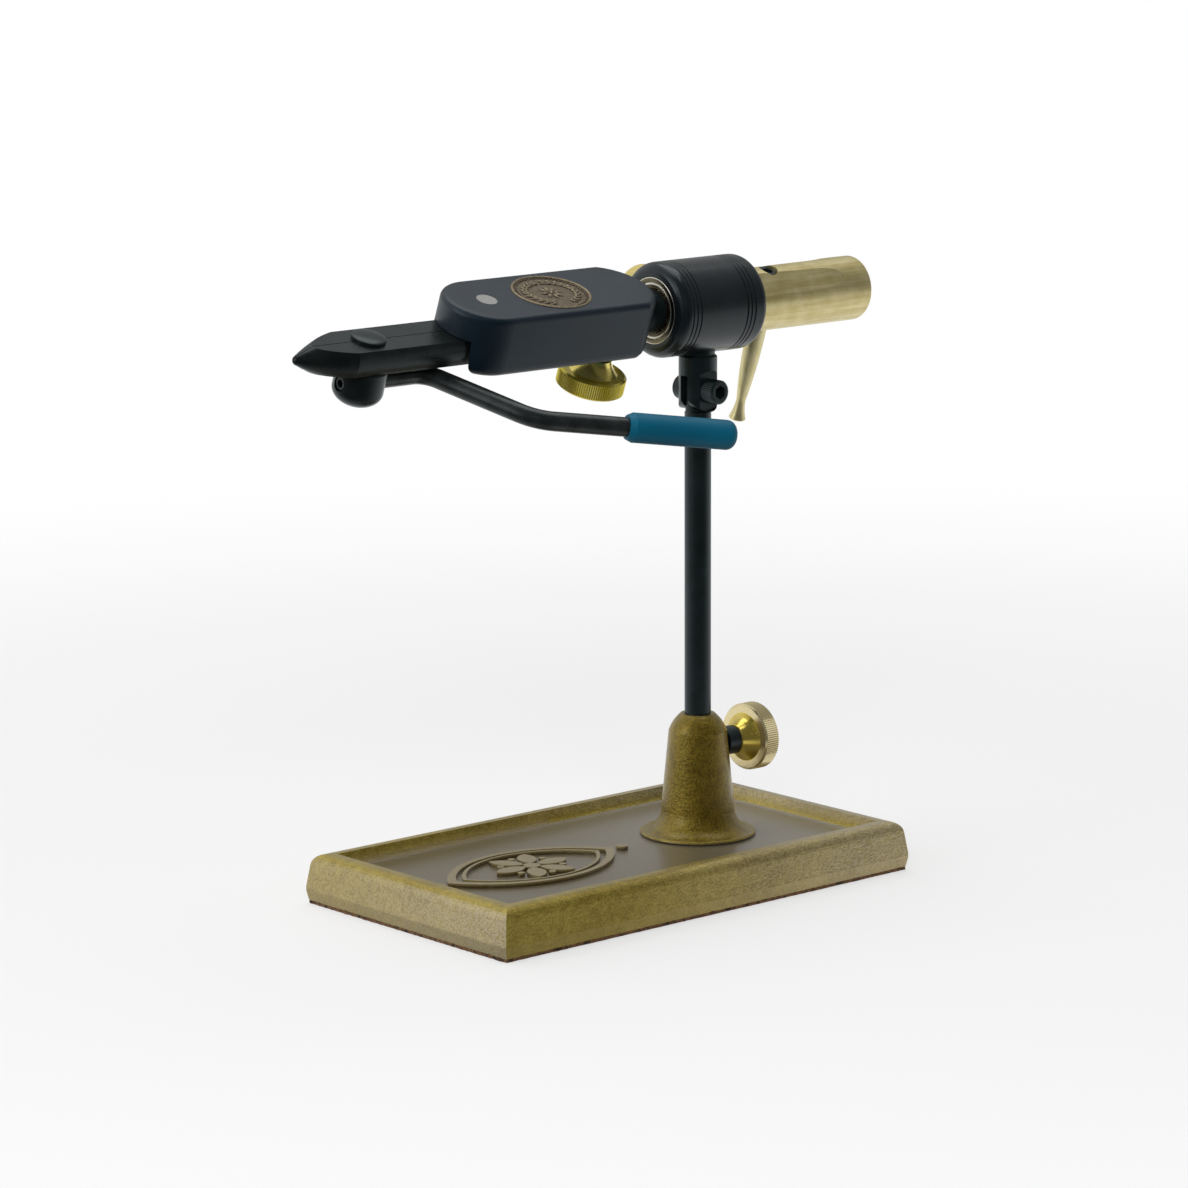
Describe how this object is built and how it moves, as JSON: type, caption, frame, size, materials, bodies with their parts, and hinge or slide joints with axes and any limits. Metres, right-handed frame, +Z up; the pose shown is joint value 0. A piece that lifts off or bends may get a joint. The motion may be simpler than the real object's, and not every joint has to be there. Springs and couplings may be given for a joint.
{
  "type": "fly tying vise",
  "caption": "Rotary fly tying vise: sprung cam-lever jaws in a rolling head, a barrel on bearings that tilts on a round stem, thumb screws, and a cast pedestal base with a tray.",
  "frame": {"origin": "stem axis at the resting plane, the underside of the base's pad", "axes": "+Z up along the stem, +X along the rotary axis from the jaws towards the turning handle, so the jaws point to -X and the tyer sits on the -Y side"},
  "size_m": [0.2546, 0.1166, 0.221],
  "materials": {
    "cast_bronze": "cast bronze, dull olive brown patina, fine grain",
    "pad": "thin cork and rubber sheet",
    "black_steel": "black oxide",
    "black_aluminium": "satin black anodised",
    "slate_aluminium": "matte dark slate anodised",
    "jaw_steel": "blackened tool steel, slight gloss",
    "rod_steel": "gunmetal",
    "bright_steel": "ground bright",
    "brass": "turned brass, satin on the handle and polished on the knobs",
    "antique_bronze": "antique bronze",
    "grip": "matte teal vinyl",
    "nylon": "natural nylon"
  },
  "bodies": {
    "base": {"base_casting": "cast_bronze", "base_pad": "pad"},
    "base_screw": {"base_lock_stud": "black_steel"},
    "base_knob": {"base_lock_knob": "brass"},
    "stem_rod": {"stem": "black_steel"},
    "carrier": {"barrel_housing": "black_aluminium", "yoke": "black_steel", "tilt_screw": "black_steel", "tilt_nut": "black_steel", "front_outer_race": "bright_steel", "front_cage": "brass", "front_balls": "bright_steel", "front_shield": "bright_steel", "rear_outer_race": "bright_steel", "rear_cage": "brass", "rear_balls": "bright_steel", "rear_shield": "bright_steel", "drag_shoe": "nylon"},
    "drag_screw": {"drag_stud": "black_steel"},
    "drag_wheel": {"drag_knob": "brass"},
    "rotor": {"spindle": "black_steel", "spindle_collar": "black_steel", "bearing_spacer": "bright_steel", "front_inner_race": "bright_steel", "rear_inner_race": "bright_steel", "head_body": "slate_aluminium", "medallion": "antique_bronze", "jaw_pin": "bright_steel", "jaw_spring": "bright_steel", "rotary_handle": "brass", "handle_set_screw": "black_steel", "crank_lever": "brass"},
    "head_screw": {"head_lock_stud": "black_steel"},
    "head_wheel": {"head_lock_knob": "brass"},
    "near_jaw": {"jaw_near": "jaw_steel"},
    "far_jaw": {"jaw_far": "jaw_steel"},
    "lever": {"cam_post": "jaw_steel", "cam_body": "jaw_steel", "cam_set_screw": "black_steel", "lever_rod": "rod_steel", "lever_grip": "grip"}
  },
  "joints": [
    {"name": "stem_height", "type": "slide", "parent": "base", "child": "stem_rod", "axis": [0, 0, 1], "range_m": [0, 0.03]},
    {"name": "base_screw_travel", "type": "slide", "parent": "base", "child": "base_screw", "axis": [1, 0, 0], "range_m": [0, 0.00254]},
    {"name": "base_screw_turn", "type": "hinge", "parent": "base_screw", "child": "base_knob", "pos_m": [0.02, 0, 0.0446], "axis": [1, 0, 0], "range_deg": [0, 720]},
    {"name": "tilt", "type": "hinge", "parent": "stem_rod", "child": "carrier", "pos_m": [0, 0, 0.1742], "axis": [0, 1, 0], "range_deg": [-35, 35]},
    {"name": "drag_screw_travel", "type": "slide", "parent": "carrier", "child": "drag_screw", "axis": [0, 1, 0], "range_m": [0, 0.00254]},
    {"name": "drag_screw_turn", "type": "hinge", "parent": "drag_screw", "child": "drag_wheel", "pos_m": [-0.0005, 0.02, 0.2041], "axis": [0, 1, 0], "range_deg": [0, 720]},
    {"name": "rotary", "type": "hinge", "parent": "carrier", "child": "rotor", "pos_m": [0, 0, 0.2041], "axis": [1, 0, 0], "continuous": true},
    {"name": "head_screw_travel", "type": "slide", "parent": "rotor", "child": "head_screw", "axis": [0, 0.342, -0.9397], "range_m": [0, 0.00254]},
    {"name": "head_screw_turn", "type": "hinge", "parent": "head_screw", "child": "head_wheel", "pos_m": [-0.043, 0, 0.2041], "axis": [0, 0.342, -0.9397], "range_deg": [0, 720]},
    {"name": "squeeze", "type": "hinge", "parent": "rotor", "child": "lever", "pos_m": [-0.1491, 0, 0.2041], "axis": [0, -0.342, 0.9397], "range_deg": [0, 20], "stiffness_Nm_per_rad": 0.6, "springref_deg": -20.05},
    {"name": "near_jaw_swing", "type": "hinge", "parent": "rotor", "child": "near_jaw", "pos_m": [-0.1006, 0, 0.2041], "axis": [0, -0.342, 0.9397], "range_deg": [0, 1.75]},
    {"name": "far_jaw_swing", "type": "hinge", "parent": "rotor", "child": "far_jaw", "pos_m": [-0.1006, 0, 0.2041], "axis": [0, -0.342, 0.9397], "range_deg": [-1.75, 0]}
  ],
  "couplings": [
    {"joint": "base_screw_turn", "follows": "base_screw_travel", "rad_per_m": 4947.3},
    {"joint": "drag_screw_turn", "follows": "drag_screw_travel", "rad_per_m": 4947.3},
    {"joint": "head_screw_turn", "follows": "head_screw_travel", "rad_per_m": 4947.3},
    {"joint": "near_jaw_swing", "follows": "squeeze", "ratio": 0.085},
    {"joint": "far_jaw_swing", "follows": "squeeze", "ratio": -0.085}
  ]
}
